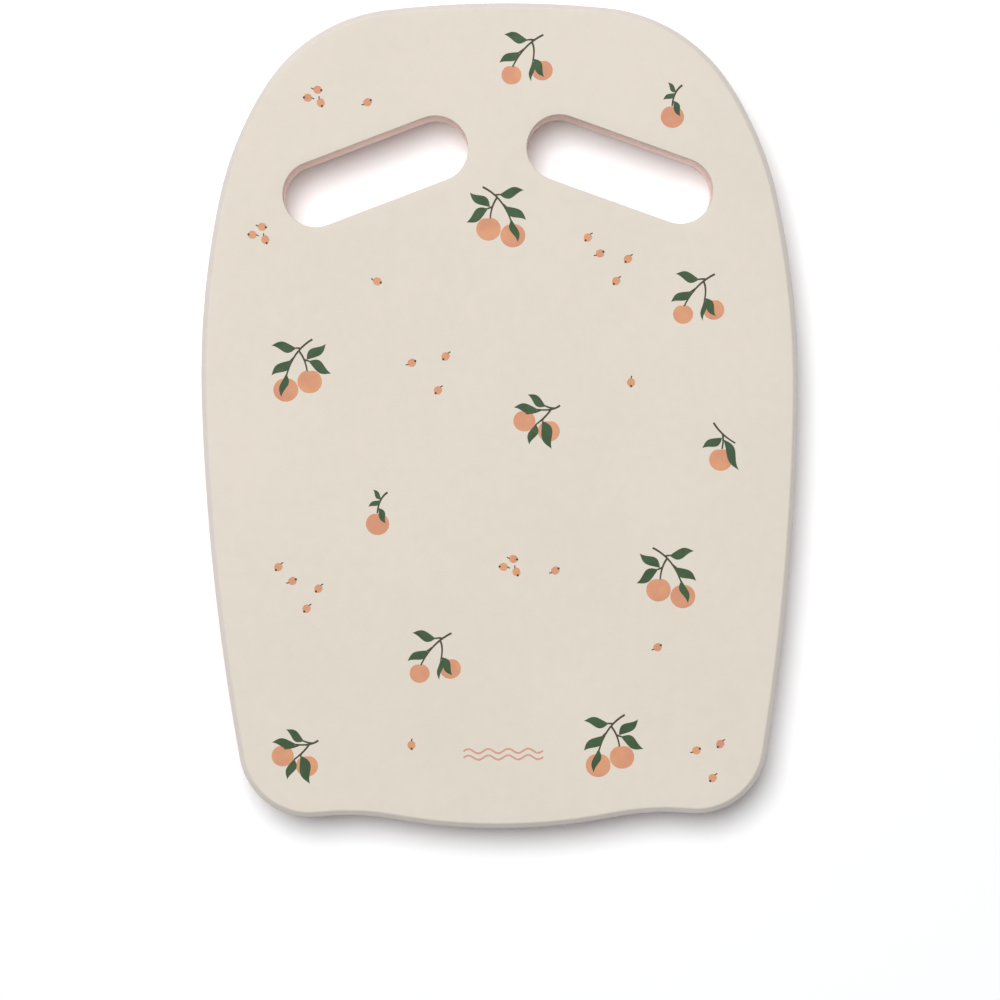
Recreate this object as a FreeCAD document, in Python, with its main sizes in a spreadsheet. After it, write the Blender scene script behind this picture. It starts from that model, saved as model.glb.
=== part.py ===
import FreeCAD, Part
import Sketcher
import math
import os
from FreeCAD import Placement, Rotation, Vector

# Kickboard float: a flat foam board for two hands, glued up from three plies of closed-cell foam.
# The printed pattern is ink on the deck, one thin film for each ink.
# Part frame: origin at the centre of the base face, where the board rests. +Z runs up out of the deck,
# +Y towards the rounded crown with the hand slots, and +X towards the right hand of the person holding it.

SIZES = [
    # outline, seen from above; the board is the same on both sides of its centre line
    ("board_length", 415, "crown to tail along the centre line"),
    ("board_width", 300, "across the widest part"),
    ("widest_ahead", 18, "the widest part lies this far crownwards of mid-length"),
    ("crown_radius", 520, "front edge"),
    ("shoulder_radius", 84, "turn from the front edge to the sides"),
    ("shoulder_across", 46, "centre of that turn from the centre line"),
    ("haunch_radius", 172, "easing between shoulder and side"),
    ("upper_side_radius", 435, "side beside the chest"),
    ("lower_side_radius", 1225, "side tapering to the tail"),
    ("corner_radius", 36, "tail corners"),
    ("corner_across", 97, "centre of a tail corner from the centre line"),
    ("corner_behind", 165, "centre of a tail corner tailwards of mid-length"),
    ("hollow_radius", 134, "shallow hollow beside each tail corner"),
    ("tail_radius", 304, "bulge in the middle of the tail"),
    # plies
    ("base_thickness", 12.5, "lowest ply"),
    ("middle_thickness", 12.5, "ply between base and deck"),
    ("deck_thickness", 5, "printed top sheet"),
    ("rim_chamfer", 2.7, "slanted edge round the whole board, top and bottom, at 45 degrees"),
    ("rim_softening", 1.5, "radius where the slanted edge meets the face and the wall"),
    # hand slots
    ("slot_width", 33, "across a slot, and the diameter of its round ends"),
    ("slot_reach", 64.3, "between the centres of a slot's two ends"),
    ("slot_across", 61.4, "middle of a slot from the centre line"),
    ("slot_ahead", 123.2, "middle of a slot crownwards of mid-length"),
    ("slot_tilt", 20.3, "outer end of each slot drops by this many degrees"),
    ("slot_edge_radius", 0.4, "softened edge where a slot meets the deck or the base"),
    # print
    ("ink_thickness", 0.1, "printed film standing on the deck"),
    ("leaf_width_share", 0.4, "width of a leaf over its length"),
    ("twig_width", 1, "twigs at their thick end"),
    ("berry_radius", 2.1, "small loose berries"),
    ("stalk_width", 0.6, "short stalk of a loose berry at its thick end"),
    ("wave_length", 10, "one crest to the next in the mark"),
    ("wave_height", 1.1, "crest above the middle of its line"),
    ("wave_line", 0.9, "width of the mark's lines"),
    ("wave_spacing", 3.2, "between the mark's lines"),
    ("mark_behind", 170, "middle of the mark tailwards of mid-length"),
]

# Arcs of the right half from the crown round to the tail, each tangent to the next: the arc, roughly how
# many degrees it turns, and which way.  The constraints settle the exact angles.
RIGHT, LEFT = -1, 1
OUTLINE = [
    ("crown", 6, RIGHT),
    ("shoulder", 50, RIGHT),
    ("haunch", 22, RIGHT),
    ("upper_side", 13, RIGHT),
    ("lower_side", 8, RIGHT),
    ("corner", 86, RIGHT),
    ("hollow", 16, LEFT),
    ("tail", 11, RIGHT),
]

# Printed sprigs in their own millimetres, +Y up.  A fruit is (x, y, radius).  A leaf is (x, y of its base,
# heading in degrees, length), and a slim one adds its width over an ordinary leaf's.  A twig runs through
# three points.
SPRIGS = {
    "slender_pair": {
        "fruits": [(-6.6, -9.0, 4.9), (8.8, -6.8, 5.2)],
        "leaves": [
            (1.6, 8.4, 166, 12),
            (-2.4, 2.4, 207, 11.4),
            (4.5, -1.0, 300, 10.6),
            (4.0, -1.8, 266, 10.6, 0.6),
        ],
        "twigs": [
            ((9.6, 11.0), (0.6, 4.6), (-6.0, -5.0)),
            ((5.0, 8.4), (3.2, 8.6), (1.2, 8.4)),
            ((-0.2, 3.9), (-1.4, 3.0), (-2.8, 2.2)),
            ((3.8, 7.4), (4.8, 3.4), (4.2, -2.2)),
        ],
    },
    "leafy_pair": {
        "fruits": [(-7.4, -10.0, 6.1), (4.6, -6.0, 6.0)],
        "leaves": [
            (-2.0, 10.8, 173, 12.4),
            (3.2, 5.0, 39, 12.4),
            (4.2, 4.2, 331, 12.8),
            (-4.6, 4.8, 217, 12.4),
            (-7.2, -2.0, 258, 12, 0.8),
        ],
        "twigs": [
            ((6.2, 15.2), (-2.4, 7.4), (-7.4, -4.4)),
            ((0.6, 10.5), (-0.6, 10.8), (-2.4, 10.9)),
            ((-0.6, 9.3), (2.0, 4.8), (3.4, -0.8)),
            ((1.8, 5.2), (2.8, 4.7), (4.6, 4.2)),
            ((-3.4, 6.0), (-4.0, 5.4), (-5.0, 4.6)),
        ],
    },
    "bent_pair": {
        "fruits": [(-6.8, -0.8, 5.4), (5.4, -6.0, 5.4)],
        "leaves": [
            (4.0, 6.4, 146, 10.8),
            (0.0, 5.0, 175, 12),
            (-1.0, -2.4, 251, 10.8),
            (2.2, -0.8, 288, 14.8),
        ],
        "twigs": [
            ((11.2, 6.8), (6.4, 4.8), (-0.4, 4.9)),
            ((8.6, 5.4), (6.2, 5.7), (3.6, 6.7)),
            ((1.6, 4.7), (-2.2, 3.3), (-6.0, 2.8)),
            ((6.6, 4.9), (3.6, 1.2), (-1.2, -2.8)),
            ((3.6, 1.2), (2.7, 0.2), (2.0, -1.2)),
        ],
    },
    "single": {
        "fruits": [(0.0, -5.8, 5.7)],
        "leaves": [(1.9, 6.4, 128, 6.4), (1.5, 6.0, 208, 6.8), (0.6, 2.2, 294, 8.6)],
        "twigs": [((5.2, 10.0), (1.6, 6.0), (-0.1, -0.5))],
    },
    "long_leaf": {
        "fruits": [(-0.4, -6.2, 5.7)],
        "leaves": [(0.4, 4.8, 207, 11.2), (1.2, 3.8, 296, 17, 0.7)],
        "twigs": [((-3.8, 12.4), (0.6, 6.8), (7.0, 2.0)), ((0.7, 6.8), (0.9, 3.2), (0.3, -0.9))],
    },
}

# Where each sprig is printed: kind, x and y of its middle on the deck, degrees turned, mirrored or not.
PRINTED_SPRIGS = [
    ("slender_pair", 14, 180, 0, False),
    ("slender_pair", 99, 59, 0, False),
    ("slender_pair", -35, -120, 0, False),
    ("leafy_pair", -0.6, 100, 3, True),
    ("leafy_pair", 83, -82, 3, True),
    ("leafy_pair", -100, 24, 0, False),
    ("leafy_pair", 55, -166, 0, False),
    ("bent_pair", 19, -2, 0, False),
    ("bent_pair", -104, -169, 0, False),
    ("single", 88, 155, 0, False),
    ("single", -62, -48, 0, False),
    ("long_leaf", 111, -17, 0, False),
]

# Loose berries: x, y, and the heading of the dark tip in degrees.
PRINTED_BERRIES = [
    (-90, 164.5, 350),
    (-95, 160.5, 175),
    (-88.5, 158, 290),
    (-118.5, 96, 350),
    (-123.5, 92, 175),
    (-117, 89.5, 290),
    (6, -72, 350),
    (1, -76, 175),
    (7.5, -78.5, 290),
    (-65, 158, 30),
    (-61, 68, 340),
    (66, 16, 270),
    (-46, -165, 270),
    (78, -117, 30),
    (27, -78, 30),
    (-44, 27, 25),
    (-27, 30, 230),
    (-31, 13, 230),
    (97, -169, 25),
    (109, -166, 230),
    (105, -183, 230),
    (45, 89, 230),
    (51, 81, 25),
    (65, 78, 230),
    (59, 67, 230),
    (-112, -75, 230),
    (-105, -82, 25),
    (-92, -86, 230),
    (-98, -96, 230),
]

WAVES_IN_LINE = 4
FRUIT_POINTS = 40
LEAF_STEPS = 14
TWIG_STEPS = 10
WAVE_STEPS_EACH = 16

doc = FreeCAD.newDocument("kickboard_float")


def make_sheet():
    """Every driving size in one spreadsheet, each under its own alias."""
    sheet = doc.addObject("Spreadsheet::Sheet", "sizes")
    for row, (alias, value, meaning) in enumerate(SIZES, start=1):
        sheet.set(f"A{row}", alias)
        sheet.set(f"B{row}", str(value))
        sheet.set(f"C{row}", meaning)
        sheet.setAlias(f"B{row}", alias)
    doc.recompute()
    return sheet


def size(alias):
    return float(sheet.get(alias))


def origin_plane(body, role):
    return next(feature for feature in body.Origin.OriginFeatures if feature.Role == role)


def new_sketch(body, name):
    sketch = body.newObject("Sketcher::SketchObject", name)
    sketch.AttachmentSupport = (origin_plane(body, "XY_Plane"), [""])
    sketch.MapMode = "FlatFace"
    return sketch


def drive(sketch, constraint, name, expression):
    """Add a dimension and bind it to the spreadsheet."""
    index = sketch.addConstraint(constraint)
    sketch.renameConstraint(index, name)
    sketch.setExpression(f"Constraints.{name}", expression)


def add_outline_arcs(sketch):
    """Lay the chain of arcs down near its final place; returns each arc with its first and last vertex."""
    point = Vector(0, size("board_length") / 2, 0)
    heading = 0.0
    chain = {}
    for name, sweep, turn in OUTLINE:
        radius = size(f"{name}_radius")
        across = math.radians(heading + 90 * turn)
        centre = point + Vector(math.cos(across), math.sin(across), 0) * radius
        first = math.radians(heading - 90 * turn)
        last = first + math.radians(sweep) * turn
        circle = Part.Circle(centre, Vector(0, 0, 1), radius)
        arc = sketch.addGeometry(Part.ArcOfCircle(circle, min(first, last), max(first, last)))
        chain[name] = (arc, 2, 1) if turn == RIGHT else (arc, 1, 2)
        point = centre + Vector(math.cos(last), math.sin(last), 0) * radius
        heading += sweep * turn
    return chain


def draw_half_outline(sketch):
    """Right half of the board, closed along the centre line and fully driven by the sheet."""
    chain = add_outline_arcs(sketch)
    names = [name for name, _, _ in OUTLINE]
    crown, crown_start, _ = chain["crown"]
    tail, _, tail_end = chain["tail"]
    half = size("board_length") / 2
    centre_line = sketch.addGeometry(Part.LineSegment(Vector(0, -half, 0), Vector(0, half, 0)))
    for before, after in zip(names, names[1:]):
        arc, _, end = chain[before]
        next_arc, start, _ = chain[after]
        sketch.addConstraint(Sketcher.Constraint("Tangent", arc, end, next_arc, start))
    sketch.addConstraint(Sketcher.Constraint("Coincident", centre_line, 1, tail, tail_end))
    sketch.addConstraint(Sketcher.Constraint("Coincident", centre_line, 2, crown, crown_start))
    for arc, vertex in ((crown, 3), (crown, crown_start), (tail, 3), (tail, tail_end)):
        sketch.addConstraint(Sketcher.Constraint("PointOnObject", arc, vertex, -2))
    for name in names:
        arc = chain[name][0]
        radius = size(f"{name}_radius")
        drive(sketch, Sketcher.Constraint("Radius", arc, radius), f"{name}_radius", f"sizes.{name}_radius")
    drive(
        sketch,
        Sketcher.Constraint("DistanceY", -1, 1, crown, crown_start, half),
        "crown_reach",
        "sizes.board_length / 2",
    )
    drive(
        sketch,
        Sketcher.Constraint("DistanceY", tail, tail_end, -1, 1, half),
        "tail_reach",
        "sizes.board_length / 2",
    )
    side = chain["upper_side"][0]
    side_back = size("upper_side_radius") - size("board_width") / 2
    drive(
        sketch,
        Sketcher.Constraint("DistanceX", side, 3, -1, 1, side_back),
        "side_back",
        "sizes.upper_side_radius - sizes.board_width / 2",
    )
    drive(
        sketch,
        Sketcher.Constraint("DistanceY", -1, 1, side, 3, size("widest_ahead")),
        "widest_ahead",
        "sizes.widest_ahead",
    )
    drive(
        sketch,
        Sketcher.Constraint("DistanceX", -1, 1, chain["shoulder"][0], 3, size("shoulder_across")),
        "shoulder_across",
        "sizes.shoulder_across",
    )
    corner = chain["corner"][0]
    drive(
        sketch,
        Sketcher.Constraint("DistanceX", -1, 1, corner, 3, size("corner_across")),
        "corner_across",
        "sizes.corner_across",
    )
    drive(
        sketch,
        Sketcher.Constraint("DistanceY", corner, 3, -1, 1, size("corner_behind")),
        "corner_behind",
        "sizes.corner_behind",
    )


def draw_slot(sketch):
    """One slanted slot with round ends, in the right half."""
    middle = Vector(size("slot_across"), size("slot_ahead"), 0)
    tilt = math.radians(-size("slot_tilt"))
    along = Vector(math.cos(tilt), math.sin(tilt), 0)
    aside = Vector(-along.y, along.x, 0)
    radius = size("slot_width") / 2
    inner = middle - along * (size("slot_reach") / 2)
    outer = middle + along * (size("slot_reach") / 2)
    up = Vector(0, 0, 1)
    quarter = math.pi / 2
    spine = sketch.addGeometry(Part.LineSegment(inner, outer), True)
    pin = sketch.addGeometry(Part.Point(middle), True)
    inner_end = sketch.addGeometry(
        Part.ArcOfCircle(Part.Circle(inner, up, radius), tilt + quarter, tilt + 3 * quarter)
    )
    outer_end = sketch.addGeometry(
        Part.ArcOfCircle(Part.Circle(outer, up, radius), tilt - quarter, tilt + quarter)
    )
    crown_side = sketch.addGeometry(Part.LineSegment(outer + aside * radius, inner + aside * radius))
    tail_side = sketch.addGeometry(Part.LineSegment(inner - aside * radius, outer - aside * radius))
    for constraint in (
        Sketcher.Constraint("Coincident", inner_end, 3, spine, 1),
        Sketcher.Constraint("Coincident", outer_end, 3, spine, 2),
        Sketcher.Constraint("Tangent", outer_end, 2, crown_side, 1),
        Sketcher.Constraint("Tangent", crown_side, 2, inner_end, 1),
        Sketcher.Constraint("Tangent", inner_end, 2, tail_side, 1),
        Sketcher.Constraint("Tangent", tail_side, 2, outer_end, 1),
        Sketcher.Constraint("Symmetric", spine, 1, spine, 2, pin, 1),
    ):
        sketch.addConstraint(constraint)
    drive(sketch, Sketcher.Constraint("Radius", inner_end, radius), "end_radius", "sizes.slot_width / 2")
    drive(
        sketch,
        Sketcher.Constraint("Distance", spine, size("slot_reach")),
        "slot_reach",
        "sizes.slot_reach",
    )
    drive(
        sketch,
        Sketcher.Constraint("Angle", spine, 1, -1, 1, -tilt),
        "slot_tilt",
        "sizes.slot_tilt",
    )
    drive(
        sketch,
        Sketcher.Constraint("DistanceX", -1, 1, pin, 1, middle.x),
        "slot_across",
        "sizes.slot_across",
    )
    drive(
        sketch,
        Sketcher.Constraint("DistanceY", -1, 1, pin, 1, middle.y),
        "slot_ahead",
        "sizes.slot_ahead",
    )


def edge_names(shape, wanted):
    """The names by which a chamfer or a fillet knows these edges."""
    return [
        f"Edge{number}"
        for number, edge in enumerate(shape.Edges, start=1)
        if any(edge.isSame(other) for other in wanted)
    ]


def lies_level(thing, height):
    box = thing.BoundBox
    return abs(box.ZMin - height) < 0.001 and abs(box.ZMax - height) < 0.001


def flat_face(shape, height):
    """The level face at this height: its outer wire is the rim and the others are the slots."""
    return next(face for face in shape.Faces if lies_level(face, height))


def dress_edges(body, kind, name, edges, driven, alias):
    """Chamfer or fillet some edges of the body's newest feature, by a size from the sheet."""
    before = body.Tip
    dressing = body.newObject(kind, name)
    dressing.Base = (before, edge_names(before.Shape, edges))
    dressing.setExpression(driven, f"sizes.{alias}")
    body.Tip = dressing
    doc.recompute()


def dress_exposed_face(body, height, inwards):
    """Slanted and softened rim, and softened slot edges, on the face at this height within the ply."""
    label = body.Label
    rim = flat_face(body.Tip.Shape, height).OuterWire.Edges
    dress_edges(body, "PartDesign::Chamfer", f"{label}_rim", rim, "Size", "rim_chamfer")
    chamfer_end = height + inwards * size("rim_chamfer")
    corners = flat_face(body.Tip.Shape, height).OuterWire.Edges
    corners += [edge for edge in body.Tip.Shape.Edges if lies_level(edge, chamfer_end)]
    dress_edges(body, "PartDesign::Fillet", f"{label}_rim_corners", corners, "Radius", "rim_softening")
    face = flat_face(body.Tip.Shape, height)
    slots = [edge for wire in face.Wires if not wire.isSame(face.OuterWire) for edge in wire.Edges]
    dress_edges(body, "PartDesign::Fillet", f"{label}_slot_edges", slots, "Radius", "slot_edge_radius")


def make_ply(label, thickness, below):
    """One ply with square edges: half outline and slot, mirrored across the centre line."""
    body = doc.addObject("PartDesign::Body", label)
    body.Label = label
    outline = new_sketch(body, f"{label}_outline")
    draw_half_outline(outline)
    pad = body.newObject("PartDesign::Pad", f"{label}_pad")
    pad.Profile = outline
    pad.setExpression("Length", f"sizes.{thickness}")
    doc.recompute()
    slot = new_sketch(body, f"{label}_slot")
    draw_slot(slot)
    pocket = body.newObject("PartDesign::Pocket", f"{label}_slot_cut")
    pocket.Profile = slot
    pocket.Type = "ThroughAll"
    pocket.Reversed = True
    mirrored = body.newObject("PartDesign::Mirrored", f"{label}_mirrored")
    mirrored.Originals = [pad, pocket]
    mirrored.MirrorPlane = (origin_plane(body, "YZ_Plane"), [""])
    mirrored.Refine = True
    body.Tip = mirrored
    doc.recompute()
    if below:
        body.setExpression("Placement.Base.z", " + ".join(f"sizes.{alias}" for alias in below))
    doc.recompute()
    return body


def film(points):
    """A patch of ink: the closed outline through these points, as thick as the ink."""
    outline = Part.makePolygon(points + points[:1])
    return Part.Face(outline).extrude(Vector(0, 0, size("ink_thickness")))


def fruit_film(x, y, radius):
    """Round fruit with a shallow dimple under its stalk."""
    points = []
    for step in range(FRUIT_POINTS):
        angle = 2 * math.pi * step / FRUIT_POINTS
        from_stalk = math.remainder(angle - math.pi / 2, 2 * math.pi)
        reach = radius * (1 - 0.09 * math.exp(-((from_stalk / 0.3) ** 2)) + 0.025 * math.cos(2 * angle))
        points.append(Vector(x + reach * math.cos(angle), y + reach * math.sin(angle), 0))
    return film(points)


def leaf_film(x, y, heading, length, fullness=1):
    """Pointed leaf, widest a little before half-way, with its tip swept slightly aside."""
    turn = math.radians(heading)
    along = Vector(math.cos(turn), math.sin(turn), 0)
    aside = Vector(-along.y, along.x, 0)
    widest = 0.5 * size("leaf_width_share") * fullness * length
    left, right = [], []
    for step in range(LEAF_STEPS + 1):
        share = step / LEAF_STEPS
        half_width = widest * math.sin(math.pi * share**0.85) ** 1.15
        sweep = 0.05 * length * math.sin(2 * math.pi * share)
        spine = Vector(x, y, 0) + along * (length * share) + aside * sweep
        left.append(spine + aside * half_width)
        right.append(spine - aside * half_width)
    return film(left + right[-2:0:-1])


def twig_film(start, bend, end, width):
    """Thin curved twig, tapering to three quarters of its width."""
    p0, p1, p2 = (Vector(x, y, 0) for x, y in (start, bend, end))
    control = p1 * 2 - (p0 + p2) * 0.5
    left, right = [], []
    for step in range(TWIG_STEPS + 1):
        share = step / TWIG_STEPS
        point = p0 * (1 - share) ** 2 + control * (2 * share * (1 - share)) + p2 * share**2
        along = (control - p0) * (1 - share) + (p2 - control) * share
        aside = Vector(-along.y, along.x, 0).normalize()
        half_width = 0.5 * width * (1 - 0.25 * share)
        left.append(point + aside * half_width)
        right.append(point - aside * half_width)
    return film(left + right[::-1])


def joined(films):
    if len(films) == 1:
        return films[0]
    return films[0].multiFuse(films[1:]).removeSplitter()


def sprig_films(kind):
    """One sprig's fruit, leaf and twig films; the leaves stay whole and the inks under them stop short."""
    artwork = SPRIGS[kind]
    leaves = joined([leaf_film(*leaf) for leaf in artwork["leaves"]])
    twig_width = size("twig_width")
    twigs = joined([twig_film(*twig, twig_width) for twig in artwork["twigs"]]).cut(leaves)
    fruits = joined([fruit_film(*fruit) for fruit in artwork["fruits"]]).cut(leaves).cut(twigs)
    return {"fruit": fruits, "leaf": leaves, "twig": twigs}


def berry_films():
    """A loose berry with its dark tip towards +X and a stalk behind it."""
    radius = size("berry_radius")
    tip = Part.makeCylinder(0.28 * radius, size("ink_thickness"), Vector(0.9 * radius, 0, 0))
    start, bend, end = (-1.55 * radius, 0.2 * radius), (-1.15 * radius, 0), (-0.85 * radius, 0)
    stalk = twig_film(start, bend, end, size("stalk_width"))
    dark = joined([tip, stalk])
    return {"fruit": fruit_film(0, 0, radius).cut(dark), "twig": dark}


def printed(shape, x, y, turned, mirrored):
    """The film in its place on the deck."""
    if mirrored:
        shape = shape.mirror(Vector(0, 0, 0), Vector(1, 0, 0))
    moved = shape.copy()
    moved.Placement = Placement(Vector(x, y, 0), Rotation(Vector(0, 0, 1), turned)).multiply(moved.Placement)
    return moved


def collect_inks():
    """Every printed sprig and berry, sorted by ink."""
    sprigs = {kind: sprig_films(kind) for kind in SPRIGS}
    berry = berry_films()
    inks = {"fruit": [], "leaf": [], "twig": []}
    for kind, x, y, turned, mirrored in PRINTED_SPRIGS:
        for ink, shape in sprigs[kind].items():
            inks[ink].append(printed(shape, x, y, turned, mirrored))
    for x, y, heading in PRINTED_BERRIES:
        for ink, shape in berry.items():
            inks[ink].append(printed(shape, x, y, heading, False))
    return inks


def wave_film(middle_y):
    """One wavy line of the mark, centred on the board."""
    length = size("wave_length")
    steps = WAVES_IN_LINE * WAVE_STEPS_EACH
    left, right = [], []
    for step in range(steps + 1):
        x = length * (step / WAVE_STEPS_EACH - WAVES_IN_LINE / 2)
        phase = 2 * math.pi * x / length
        slope = size("wave_height") * 2 * math.pi / length * math.cos(phase)
        point = Vector(x, middle_y + size("wave_height") * math.sin(phase), 0)
        aside = Vector(-slope, 1, 0).normalize() * (size("wave_line") / 2)
        left.append(point + aside)
        right.append(point - aside)
    return film(left + right[::-1])


def mark_films():
    """A small generic water mark: two wavy lines, one above the other."""
    middle = -size("mark_behind")
    offset = size("wave_spacing") / 2
    return [wave_film(middle + offset), wave_film(middle - offset)]


def make_film(label, shapes):
    """One ink as its own sub-part, lying on the deck."""
    feature = doc.addObject("Part::Feature", label)
    feature.Label = label
    solids = [solid for shape in shapes for solid in shape.Solids]
    feature.Shape = Part.makeCompound(solids)
    feature.Placement = Placement(Vector(0, 0, 0), Rotation())
    feature.setExpression(
        "Placement.Base.z", "sizes.base_thickness + sizes.middle_thickness + sizes.deck_thickness"
    )
    doc.recompute()
    return feature


def check_document(parts):
    for thing in doc.Objects:
        if "Invalid" in thing.State or "Error" in thing.State:
            raise RuntimeError(f"{thing.Name} is {thing.State}")
    for part in parts:
        if part.Shape.isNull() or not part.Shape.isValid():
            raise RuntimeError(f"{part.Label} has no valid shape")


sheet = make_sheet()
base_ply = make_ply("base_ply", "base_thickness", [])
dress_exposed_face(base_ply, 0, 1)
middle_ply = make_ply("middle_ply", "middle_thickness", ["base_thickness"])
deck_sheet = make_ply("deck_sheet", "deck_thickness", ["base_thickness", "middle_thickness"])
dress_exposed_face(deck_sheet, size("deck_thickness"), -1)
inks = collect_inks()
parts = [
    base_ply,
    middle_ply,
    deck_sheet,
    make_film("fruit_ink", inks["fruit"]),
    make_film("leaf_ink", inks["leaf"]),
    make_film("twig_ink", inks["twig"]),
    make_film("mark_ink", mark_films()),
]
doc.recompute()
check_document(parts)

os.makedirs("parts", exist_ok=True)
for part in parts:
    part.Shape.exportStep(f"parts/{part.Label}.step")
    print(f"{part.Label}: {len(part.Shape.Solids)} solid(s), volume {part.Shape.Volume:.0f}")
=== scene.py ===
import math

import bpy
import numpy as np
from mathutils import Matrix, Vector, noise
from mathutils.geometry import delaunay_2d_cdt


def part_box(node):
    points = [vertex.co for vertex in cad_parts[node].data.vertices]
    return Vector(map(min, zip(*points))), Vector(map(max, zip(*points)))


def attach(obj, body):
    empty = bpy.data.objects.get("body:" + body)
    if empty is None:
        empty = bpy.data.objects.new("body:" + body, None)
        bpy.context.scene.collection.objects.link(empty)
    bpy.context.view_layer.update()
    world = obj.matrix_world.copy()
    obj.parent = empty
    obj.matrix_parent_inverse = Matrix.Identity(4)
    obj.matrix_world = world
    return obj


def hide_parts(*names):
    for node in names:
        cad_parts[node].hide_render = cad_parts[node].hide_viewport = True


# Kickboard float: the looks.  The three foam plies are built again here from the loops of the CAD ply, with
# finer rounded edges and the small unevenness of cut foam.  The printed inks stay the CAD films.

MM = 0.001

# Foam plies
LOOP_SPACING = 1.6 * MM  # between the points along a loop
CAP_SPACING = 5.0 * MM  # between the points inside a flat face
CAP_CLEARANCE = 0.6 * CAP_SPACING  # from those points to the nearest loop
WALL_ROW = 1.6 * MM  # between the rows of points down a wall
CURVE_STEPS = 24  # between two CAD points, before a loop is spaced evenly
RIM_CHAMFER = 2.7 * MM
RIM_SOFTENING = 1.5 * MM
SLOT_EDGE_RADIUS = 0.4 * MM
SEAM_RADIUS = 0.35 * MM  # where two plies meet
ROUND_STEPS = 5  # over a rounded edge
SLANT_STEPS = 6  # over the rim's slant, and over each of its softened corners
GLUE_GAP = 0.02 * MM

# Unevenness of cut foam: how far it swells, and the reach over which it changes
WALL_WAVE = 0.05 * MM
WALL_REACH = 14 * MM
RIPPLE_WAVE = 0.02 * MM
RIPPLE_REACH = 4 * MM
FACE_WAVE = 0.02 * MM
FACE_REACH = 30 * MM
RIPPLE_SEED = 9  # added to a ply's own seed
FACE_SEED = 5

# Reading the CAD mesh
LEVEL_FACET = 0.9  # a facet is level if its normal's Z is above this
UPRIGHT_FACET = 0.1  # and upright if it is below this
SAME_HEIGHT = 0.001 * MM
POINT_DIGITS = 6  # of a point's x and y in metres, to tell points apart

# Triangles of a flat face
TRIANGLES_INSIDE = 1  # keep only the triangles inside the outline
WELD = 1e-5  # millimetres

# Foam colours
CREAM = (0.637, 0.583, 0.503, 1.0)
CREAM_RIM_SHEEN = (0.630, 0.577, 0.530, 1.0)  # painted sheen: a paler, less yellow copy of the cream, on the slanted rim
CREAM_WALL_LIGHT = (0.860, 0.740, 0.670, 1.0)  # painted light: a brighter, pinker copy of the cream, on upright walls, standing in for light bounced from the floor and the pink plies
ROSE = (0.880, 0.700, 0.640, 1.0)
PINK = (0.900, 0.745, 0.695, 1.0)

# Ink colours, as they show on the level deck in the studio's light, 0 to 255
PEACH = (218, 156, 115)
PEACH_PINK = (210, 145, 116)
GREEN = (60, 88, 54)
GREEN_DARK = (56, 80, 52)
TWIG = (66, 67, 48)
TWIG_BROWN = (72, 62, 44)
BLUSH = (210, 160, 140)
BLUSH_DEEP = (205, 154, 136)

# Camera: straight above, a little tailwards of the board's middle
VIEW_HEIGHT = 1.85  # above the deck
VIEW_WIDTH = 0.5021  # seen across the picture at the deck
VIEW_X = -0.0004
VIEW_Y = -0.0424
VIEW_TURN = -0.552  # degrees

# Light
KEY_AZIMUTH = 28.0  # degrees from +Y towards -X
KEY_ELEVATION = 71.0
KEY_DISTANCE = 6.0
KEY_SIZE = 4.3  # across the disk
KEY_POWER = 434.0
SKY = 0.145  # strength of the even light from all round
LIGHT_ON_DECK = 1.18  # display brightness of a white level surface

# Floor
FLOOR_TONE = (0.884, 0.894, 0.900)
FLOOR_REACH = 6.0
FLOOR_DROP = 0.02 * MM  # below the board's underside

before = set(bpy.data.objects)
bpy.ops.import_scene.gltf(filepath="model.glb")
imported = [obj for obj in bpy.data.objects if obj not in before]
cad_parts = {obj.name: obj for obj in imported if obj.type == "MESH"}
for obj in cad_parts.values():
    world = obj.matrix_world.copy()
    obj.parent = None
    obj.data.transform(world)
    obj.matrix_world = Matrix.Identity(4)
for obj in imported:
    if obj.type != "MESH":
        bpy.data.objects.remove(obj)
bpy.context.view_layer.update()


def add_object(name, data):
    """A new object in the scene that shows this mesh, light or camera."""
    made = bpy.data.objects.new(name, data)
    bpy.context.scene.collection.objects.link(made)
    return made


# ---------------------------------------------------------------- loops of the CAD ply


def top_facets(mesh):
    """The edges of the flat top's facets, and the outward directions of the walls at each point round it.

    A point is named by its rounded x and y.
    """
    top = max(vertex.co.z for vertex in mesh.vertices)
    corner_normals = mesh.corner_normals
    outward = {}
    edges = set()
    for face in mesh.polygons:
        corners = [mesh.vertices[mesh.loops[i].vertex_index].co for i in face.loop_indices]
        keys = [(round(co.x, POINT_DIGITS), round(co.y, POINT_DIGITS)) for co in corners]
        if face.normal.z > LEVEL_FACET:
            edges.update(zip(keys, keys[1:] + keys[:1]))
            continue
        for i, co, key in zip(face.loop_indices, corners, keys):
            normal = corner_normals[i].vector
            if top - co.z < SAME_HEIGHT and abs(normal.z) < UPRIGHT_FACET:
                outward.setdefault(key, []).append(np.array(normal.xy.normalized()))
    return edges, outward


def flat_top_loops(node):
    """Closed loops round the flat top of a CAD ply: its outline, and one for each slot.

    Each loop is its points, and for each point the outward directions of the wall's facets there.  The board
    lies on the left of a loop's direction of travel.
    """
    edges, outward = top_facets(node.data)
    following = {start: end for start, end in edges if (end, start) not in edges}
    loops = []
    while following:
        start, point = following.popitem()
        loop = [start]
        while point != start:
            loop.append(point)
            point = following.pop(point)
        loops.append((np.array(loop), [outward[key] for key in loop]))
    return sorted(loops, key=lambda loop: -np.ptp(loop[0][:, 0]))


def square_to(directions, step):
    """The direction most square to this step along a loop."""
    return min(directions, key=lambda direction: abs(direction @ step))


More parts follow.
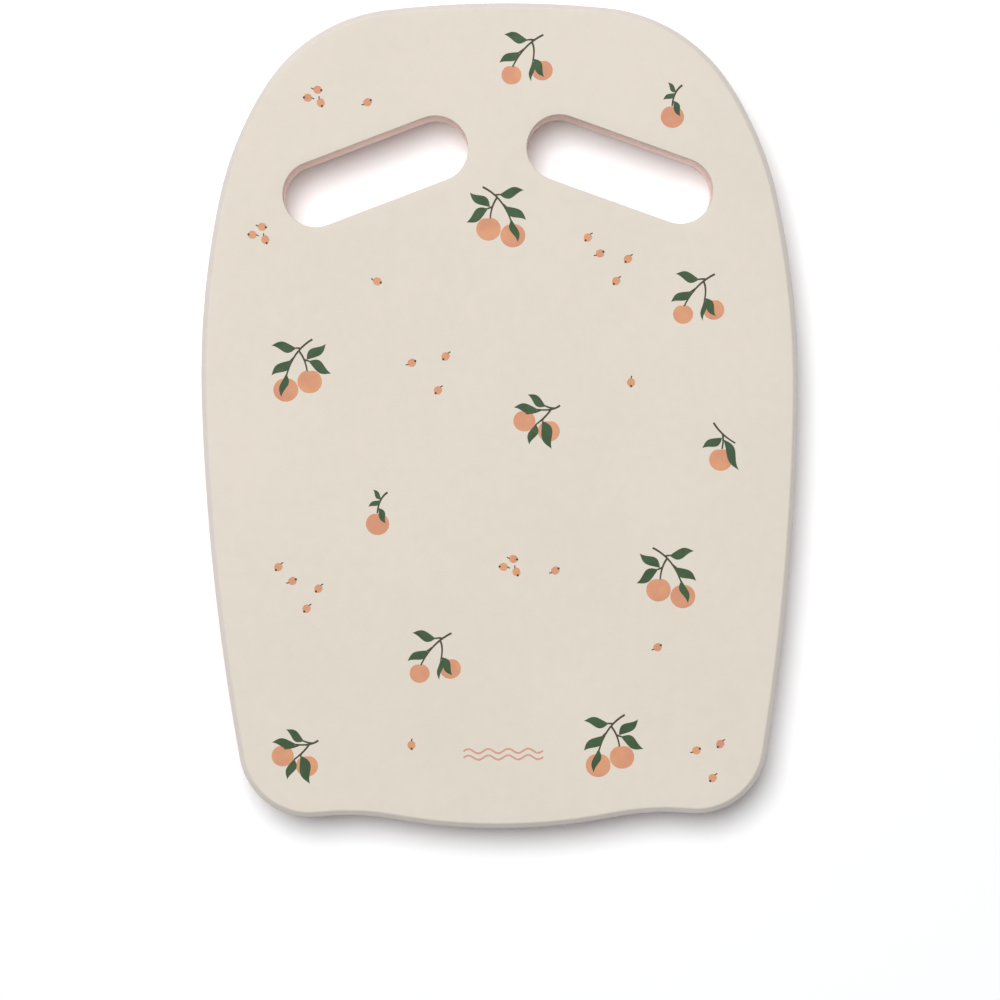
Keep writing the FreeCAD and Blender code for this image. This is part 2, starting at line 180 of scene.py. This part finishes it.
def smooth_span(p0, p1, n0, n1, t):
    """Points of a cubic curve between two points, square to a wall direction at each."""
    reach = np.linalg.norm(p1 - p0)
    d0, d1 = np.array([-n0[1], n0[0]]) * reach, np.array([-n1[1], n1[0]]) * reach
    return (
        (2 * t**3 - 3 * t**2 + 1) * p0
        + (t**3 - 2 * t**2 + t) * d0
        + (3 * t**2 - 2 * t**3) * p1
        + (t**3 - t**2) * d1
    )


def resampled(loop, spacing):
    """The loop as evenly spaced points on a smooth curve, and the outward direction of the wall at each."""
    points, outward = loop
    t = (np.arange(CURVE_STEPS) / CURVE_STEPS)[:, None]
    curve, facing = [], []
    for i in range(len(points)):
        j = (i + 1) % len(points)
        step = points[j] - points[i]
        n0, n1 = square_to(outward[i], step), square_to(outward[j], step)
        curve.append(smooth_span(points[i], points[j], n0, n1, t))
        facing.append((1 - t) * n0 + t * n1)
    curve, facing = np.vstack(curve), np.vstack(facing)
    closed, facing = np.vstack([curve, curve[:1]]), np.vstack([facing, facing[:1]])
    length = np.concatenate([[0], np.cumsum(np.linalg.norm(np.diff(closed, axis=0), axis=1))])
    count = round(length[-1] / spacing)
    wanted = np.arange(count) * length[-1] / count
    even = np.column_stack([np.interp(wanted, length, closed[:, axis]) for axis in (0, 1)])
    square = np.column_stack([np.interp(wanted, length, facing[:, axis]) for axis in (0, 1)])
    return even, square / np.linalg.norm(square, axis=1)[:, None]


# ---------------------------------------------------------------- profiles of the walls


def arc(radius, inset, drop, first, last, steps):
    """(inset, drop) pairs along an arc about a centre; its angle is 0 on a flat face and 90 on a wall."""
    angles = [math.radians(first + (last - first) * step / steps) for step in range(steps + 1)]
    return [(inset - radius * math.sin(a), drop - radius * math.cos(a)) for a in angles]


def rounded_edge(radius):
    """(inset, drop) pairs from a flat face over its rounded edge to the wall."""
    return arc(radius, radius, radius, 0, 90, ROUND_STEPS)


def chamfered_edge():
    """(inset, drop) pairs from a flat face over the rim's slant, with its two corners softened."""
    shift = RIM_SOFTENING * math.tan(math.pi / 8)
    upper = arc(RIM_SOFTENING, RIM_CHAMFER + shift, RIM_SOFTENING, 0, 45, SLANT_STEPS)
    lower = arc(RIM_SOFTENING, RIM_SOFTENING, RIM_CHAMFER + shift, 45, 90, SLANT_STEPS)
    slant = np.linspace(upper[-1], lower[0], SLANT_STEPS)[1:-1]
    return upper + [tuple(pair) for pair in slant] + lower


SEAM = rounded_edge(SEAM_RADIUS)
SLOT_EDGE = rounded_edge(SLOT_EDGE_RADIUS)
RIM = chamfered_edge()


def wall_profile(low, high, top_edge, bottom_edge):
    """(inset, height) pairs from the upper face to the lower one."""
    upper = [(inset, high - drop) for inset, drop in top_edge]
    lower = [(inset, low + drop) for inset, drop in reversed(bottom_edge)]
    top, bottom = upper[-1][1], lower[0][1]
    rows = max(1, round((top - bottom) / WALL_ROW))
    between = [(0.0, top + (bottom - top) * row / rows) for row in range(1, rows)]
    return upper + between + lower


# ---------------------------------------------------------------- flat faces


def inside(points, loop):
    """Which of the points lie inside the closed loop."""
    x, y = points[:, :1], points[:, 1:]
    x0, y0 = loop[:, 0], loop[:, 1]
    x1, y1 = np.roll(x0, -1), np.roll(y0, -1)
    crosses = (y0 > y) != (y1 > y)
    with np.errstate(divide="ignore", invalid="ignore"):
        left_of = x < (x1 - x0) * (y - y0) / (y1 - y0) + x0
    return (crosses & left_of).sum(axis=1) % 2 == 1


def away_from(points, loop, distance):
    """Which of the points lie further than this from every point of the loop."""
    gaps = np.linalg.norm(points[:, None, :] - loop[None, :, :], axis=2)
    return gaps.min(axis=1) > distance


def cap_points(outer, holes):
    """Staggered grid of points inside a flat face."""
    low, high = outer.min(axis=0), outer.max(axis=0)
    rows = np.arange(low[1], high[1], CAP_SPACING * math.sqrt(3) / 2)
    grid = []
    for number, y in enumerate(rows):
        xs = np.arange(low[0], high[0], CAP_SPACING) + (number % 2) * CAP_SPACING / 2
        grid.append(np.column_stack([xs, np.full(len(xs), y)]))
    grid = np.vstack(grid)
    grid = grid[inside(grid, outer)]
    for loop in [outer] + holes:
        grid = grid[away_from(grid, loop, CAP_CLEARANCE)]
    for loop in holes:
        grid = grid[~inside(grid, loop)]
    return grid


def cap_triangles(loops, grid):
    """Triangles of a flat face; they count the loops' points one loop after the other, then the grid's."""
    points = np.vstack(loops + [grid]) / MM
    edges = []
    start = 0
    for loop in loops:
        count = len(loop)
        edges += [(start + i, start + (i + 1) % count) for i in range(count)]
        start += count
    flat = [Vector(point) for point in points]
    _, _, faces, origins, _, _ = delaunay_2d_cdt(flat, edges, [], TRIANGLES_INSIDE, WELD)
    triangles = np.array([[origins[i][0] for i in face] for face in faces])
    middles = points[triangles].mean(axis=1)
    for hole in loops[1:]:
        keep = ~inside(middles, hole / MM)
        triangles, middles = triangles[keep], middles[keep]
    return triangles


# ---------------------------------------------------------------- foam plies


def wavy(points, reach, seed):
    """A smooth random number between about -1 and 1 at each point; it changes over this reach."""
    return np.array([noise.noise(Vector(point) / reach + Vector((seed, 0, 0))) for point in points])


def wall_rings(points, outward, profile, seed):
    """The points of one wall, ring after ring down its profile, with the slight swell of cut foam."""
    rings = []
    for inset, height in profile:
        ring = points - outward * inset
        level = np.column_stack([ring, np.full(len(points), height)])
        swell = WALL_WAVE * wavy(level, WALL_REACH, seed)
        swell += RIPPLE_WAVE * wavy(level, RIPPLE_REACH, seed + RIPPLE_SEED)
        rings.append(np.column_stack([ring + outward * swell[:, None], level[:, 2]]))
    return rings


def wall_faces(start, rows, count):
    """Quads between the rings of a wall whose points begin at this number."""
    faces = []
    for row in range(rows - 1):
        upper, lower = start + row * count, start + (row + 1) * count
        for i in range(count):
            j = (i + 1) % count
            faces.append((upper + i, lower + i, lower + j, upper + j))
    return faces


def build_ply(name, loops, low, high, rim_edges, slot_edges, seed):
    """One foam ply between two heights; each pair of edges is its upper and lower one."""
    vertices, faces = [], []
    first_ring, last_ring = [], []
    used = 0
    for number, (points, outward) in enumerate(loops):
        profile = wall_profile(low, high, *(slot_edges if number else rim_edges))
        count = len(points)
        vertices += wall_rings(points, outward, profile, seed)
        faces += wall_faces(used, len(profile), count)
        first_ring.append(np.arange(used, used + count))
        used += len(profile) * count
        last_ring.append(np.arange(used - count, used))
    walls = np.vstack(vertices)
    blocks = [walls]
    for rings, height, sign in ((first_ring, high, 1), (last_ring, low, -1)):
        edge_loops = [walls[ring, :2] for ring in rings]
        grid = cap_points(edge_loops[0], edge_loops[1:])
        names = np.concatenate(rings + [np.arange(used, used + len(grid))])
        triangles = names[cap_triangles(edge_loops, grid)]
        faces += [tuple(triangle[::sign]) for triangle in triangles.tolist()]
        level = np.column_stack([grid, np.full(len(grid), height)])
        level[:, 2] += sign * FACE_WAVE * (wavy(level, FACE_REACH, seed + FACE_SEED) - 0.5)
        blocks.append(level)
        used += len(grid)
    mesh = bpy.data.meshes.new(name)
    mesh.from_pydata(np.vstack(blocks).tolist(), [], faces)
    mesh.shade_smooth()
    mesh.validate()
    return add_object(name, mesh)


# ---------------------------------------------------------------- materials


class Recipe:
    """A material's node tree with short names for the few kinds of node used here."""

    def __init__(self, name):
        self.material = bpy.data.materials.new(name)
        self.material.use_nodes = True
        self.tree = self.material.node_tree
        self.surface = self.tree.nodes["Principled BSDF"]
        self.place = self.node("ShaderNodeTexCoord").outputs["Object"]
        self.facing = self.node("ShaderNodeNewGeometry").outputs["Normal"]

    def node(self, kind, **settings):
        made = self.tree.nodes.new(kind)
        for key, value in settings.items():
            setattr(made, key, value)
        return made

    def link(self, source, target):
        self.tree.links.new(source, target)

    def value(self, target, source):
        """Set a socket to a number or colour, or link another socket to it."""
        if isinstance(source, bpy.types.NodeSocket):
            self.link(source, target)
        else:
            target.default_value = source

    def noise(self, size, detail, seed):
        """Noise whose blotches are about this many metres across."""
        made = self.node("ShaderNodeTexNoise", noise_dimensions="4D")
        self.link(self.place, made.inputs["Vector"])
        made.inputs["W"].default_value = seed
        made.inputs["Scale"].default_value = 1 / size
        made.inputs["Detail"].default_value = detail
        return made.outputs["Fac"]

    def cells(self, size):
        """Rounded cells of this size: 0 in the middle of a cell, about 1 at its wall."""
        made = self.node("ShaderNodeTexVoronoi", feature="SMOOTH_F1")
        self.link(self.place, made.inputs["Vector"])
        made.inputs["Scale"].default_value = 1 / size
        made.inputs["Smoothness"].default_value = 0.4
        return made.outputs["Distance"]

    def math(self, operation, first, second):
        made = self.node("ShaderNodeMath", operation=operation)
        self.value(made.inputs[0], first)
        self.value(made.inputs[1], second)
        return made.outputs[0]

    def level(self):
        """How level the surface is: 0 on an upright wall, 1 on a flat face."""
        parts = self.node("ShaderNodeSeparateXYZ")
        self.link(self.facing, parts.inputs[0])
        return self.math("ABSOLUTE", parts.outputs["Z"], 0.0)

    def ramp(self, source, low, high, to_low=0.0, to_high=1.0):
        """Carries low..high to to_low..to_high, smoothly, and holds the ends."""
        made = self.node("ShaderNodeMapRange", interpolation_type="SMOOTHSTEP")
        self.link(source, made.inputs["Value"])
        for socket, number in zip(("From Min", "From Max", "To Min", "To Max"), (low, high, to_low, to_high)):
            made.inputs[socket].default_value = number
        return made.outputs["Result"]

    def mix(self, share, first, second):
        made = self.node("ShaderNodeMix", data_type="RGBA")
        self.value(made.inputs["Factor"], share)
        self.value(made.inputs["A"], first)
        self.value(made.inputs["B"], second)
        return made.outputs["Result"]

    def mottled(self, share, colour, spread):
        """The colour between this much darker and this much lighter."""
        return self.mix(share, tone(colour, 1 - spread), tone(colour, 1 + spread))

    def bump(self, height, distance, below=None):
        made = self.node("ShaderNodeBump")
        made.inputs["Distance"].default_value = distance
        self.link(height, made.inputs["Height"])
        if below is not None:
            self.link(below, made.inputs["Normal"])
        return made.outputs["Normal"]

    def finish(self, colour, roughness, normal, specular):
        self.value(self.surface.inputs["Base Color"], colour)
        self.value(self.surface.inputs["Roughness"], roughness)
        self.link(normal, self.surface.inputs["Normal"])
        self.surface.inputs["Specular IOR Level"].default_value = specular
        return self.material


def lit(shown):
    """The colour of a level surface that shows as this display colour, 0 to 255, in the studio's light."""
    shares = [channel / 255 for channel in shown]
    linear = [c / 12.92 if c <= 0.04045 else ((c + 0.055) / 1.055) ** 2.4 for c in shares]
    return tuple(channel / LIGHT_ON_DECK for channel in linear) + (1.0,)


def tone(colour, factor):
    return tuple(channel * factor for channel in colour[:3]) + (1.0,)


def foam_material(name, face_colour, rim_sheen_colour, wall_light_colour, cell, roughness, seed):
    """Matte closed-cell foam with faint blotches; a painted sheen on the slanted rim and painted light on
    upright walls are given as tones of their own.
    """
    recipe = Recipe(name)
    broad = recipe.noise(70 * MM, detail=2.0, seed=seed)
    cloudy = recipe.noise(6 * MM, detail=3.0, seed=seed + 1)
    grain = recipe.noise(0.4 * MM, detail=2.0, seed=seed + 2)
    cells = recipe.cells(cell)
    sum_of_noises = recipe.math("ADD", recipe.math("ADD", broad, cloudy), grain)
    share = recipe.ramp(sum_of_noises, 1.1, 1.9)
    face = recipe.mottled(share, face_colour, spread=0.025)
    # The slanted rim's painted sheen: a paler, less yellow copy of the face colour.
    edge = recipe.mottled(share, rim_sheen_colour, spread=0.03)
    # The upright walls' painted light: a brighter, pinker copy of the face colour.
    cut = recipe.mottled(share, wall_light_colour, spread=0.03)
    level = recipe.level()
    # Painted light on upright walls and painted sheen on the slant, placed by how level the surface is.
    tinted = recipe.mix(recipe.ramp(level, 0.1, 0.5), cut, edge)
    tinted = recipe.mix(recipe.ramp(level, 0.93, 0.998), tinted, face)
    shine = recipe.ramp(recipe.math("ADD", cloudy, cells), 0.5, 1.5, roughness - 0.06, roughness + 0.07)
    normal = recipe.bump(grain, 0.02 * MM)
    normal = recipe.bump(cells, 0.04 * MM, normal)
    normal = recipe.bump(cloudy, 0.06 * MM, normal)
    return recipe.finish(tinted, shine, normal, specular=0.3)


def ink_material(name, main, other, blotch, seed):
    """Printed ink: two close tones in soft blotches, with lighter speckles and the foam's fine cells."""
    recipe = Recipe(name)
    blotches = recipe.noise(blotch, detail=2.5, seed=seed)
    grain = recipe.noise(0.5 * MM, detail=2.0, seed=seed + 1)
    cells = recipe.cells(0.9 * MM)
    share = recipe.ramp(blotches, 0.36, 0.64)
    colour = recipe.mix(share, main, other)
    speckle = recipe.ramp(grain, 0.35, 0.7, 0.0, 0.12)
    colour = recipe.mix(speckle, colour, tone(main, 1.35))
    shine = recipe.ramp(recipe.math("ADD", grain, blotches), 0.6, 1.4, 0.50, 0.61)
    normal = recipe.bump(grain, 0.01 * MM)
    normal = recipe.bump(cells, 0.02 * MM, normal)
    return recipe.finish(colour, shine, normal, specular=0.2)


def floor_material():
    """Matte pale paint with patches that are hardly darker, and a fine grain."""
    recipe = Recipe("studio_floor")
    patches = recipe.noise(900 * MM, detail=2.0, seed=3.0)
    light, dark = FLOOR_TONE + (1.0,), tone(FLOOR_TONE, 0.995)
    colour = recipe.mix(recipe.ramp(patches, 0.4, 0.6), light, dark)
    grain = recipe.noise(2 * MM, detail=2.0, seed=5.0)
    return recipe.finish(colour, 0.95, recipe.bump(grain, 0.01 * MM), specular=0.0)


# ---------------------------------------------------------------- the object


def add_foam():
    """The three plies, each in the place of its CAD ply."""
    loops = [resampled(loop, LOOP_SPACING) for loop in flat_top_loops(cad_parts["middle_ply"])]
    deck_cell, ply_cell = 0.8 * MM, 1.1 * MM
    cream = foam_material("cream_foam", CREAM, CREAM_RIM_SHEEN, CREAM_WALL_LIGHT, deck_cell, 0.70, 1.0)
    rose = foam_material("rose_foam", ROSE, ROSE, ROSE, ply_cell, 0.76, 2.0)
    pink = foam_material("pink_foam", PINK, PINK, PINK, ply_cell, 0.76, 3.0)
    # name, CAD node, gaps below and above, rim's edges, slots' edges, seed, material slot, material
    plies = (
        ("foam_deck", "deck_sheet", GLUE_GAP, 0, (RIM, SEAM), (SLOT_EDGE, SEAM), 1, "cream_foam", cream),
        ("foam_middle", "middle_ply", GLUE_GAP, GLUE_GAP, (SEAM, SEAM), (SEAM, SEAM), 2, "rose_foam", rose),
        ("foam_base", "base_ply", 0, GLUE_GAP, (SEAM, RIM), (SEAM, SLOT_EDGE), 3, "pink_foam", pink),
    )
    for name, node, gap_below, gap_above, rim_edges, slot_edges, seed, material_slot, material in plies:
        low, high = (corner.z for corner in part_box(node))
        ply = build_ply(name, loops, low + gap_below, high - gap_above, rim_edges, slot_edges, seed)
        ply.data.materials.append(material)
        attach(ply, "root")
        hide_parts(node)


def finish_inks():
    """Each printed film keeps its CAD shape and takes its ink."""
    inks = (
        ("fruit_ink", "peach_ink", PEACH, PEACH_PINK, 9 * MM, 4.0),
        ("leaf_ink", "green_ink", GREEN, GREEN_DARK, 6 * MM, 5.0),
        ("twig_ink", "brown_ink", TWIG, TWIG_BROWN, 5 * MM, 6.0),
        ("mark_ink", "blush_ink", BLUSH, BLUSH_DEEP, 5 * MM, 7.0),
    )
    for node, material_slot, main, other, blotch, seed in inks:
        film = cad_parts[node]
        film.data.materials.clear()
        film.data.materials.append(ink_material(material_slot, lit(main), lit(other), blotch, seed))


# ---------------------------------------------------------------- floor, light and camera


def add_floor():
    """A wide level floor that the board lies on."""
    mesh = bpy.data.meshes.new("studio_floor")
    corners = [(FLOOR_REACH * x, FLOOR_REACH * y, 0) for x, y in ((-1, -1), (1, -1), (1, 1), (-1, 1))]
    mesh.from_pydata(corners, [], [(0, 1, 2, 3)])
    mesh.materials.append(floor_material())
    floor = add_object("studio_floor", mesh)
    floor.location.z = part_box("base_ply")[0].z - FLOOR_DROP


def add_key_light():
    """One large soft disk, high up beyond the board's nose and a little to its left."""
    azimuth, elevation = math.radians(KEY_AZIMUTH), math.radians(KEY_ELEVATION)
    level = math.cos(elevation)
    towards_key = Vector((-math.sin(azimuth) * level, math.cos(azimuth) * level, math.sin(elevation)))
    light = bpy.data.lights.new("key", "AREA")
    light.shape = "DISK"
    light.size = KEY_SIZE
    light.energy = KEY_POWER
    key = add_object("key", light)
    key.location = towards_key * KEY_DISTANCE
    key.rotation_euler = towards_key.to_track_quat("Z", "Y").to_euler()


def add_sky():
    """Even white light from all round."""
    world = bpy.data.worlds.new("studio")
    bpy.context.scene.world = world
    world.use_nodes = True
    background = world.node_tree.nodes["Background"]
    background.inputs["Color"].default_value = (1.0, 1.0, 1.0, 1.0)
    background.inputs["Strength"].default_value = SKY


def add_camera():
    """A camera that looks straight down."""
    lens = bpy.data.cameras.new("camera")
    lens.angle = 2 * math.atan(VIEW_WIDTH / 2 / VIEW_HEIGHT)
    camera = add_object("camera", lens)
    camera.location = (VIEW_X, VIEW_Y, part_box("deck_sheet")[1].z + VIEW_HEIGHT)
    camera.rotation_euler = (0, 0, math.radians(VIEW_TURN))
    bpy.context.scene.camera = camera


add_foam()
finish_inks()
add_floor()
add_key_light()
add_sky()
add_camera()
bpy.context.scene.view_settings.view_transform = "Standard"
bpy.context.scene.view_settings.look = "None"
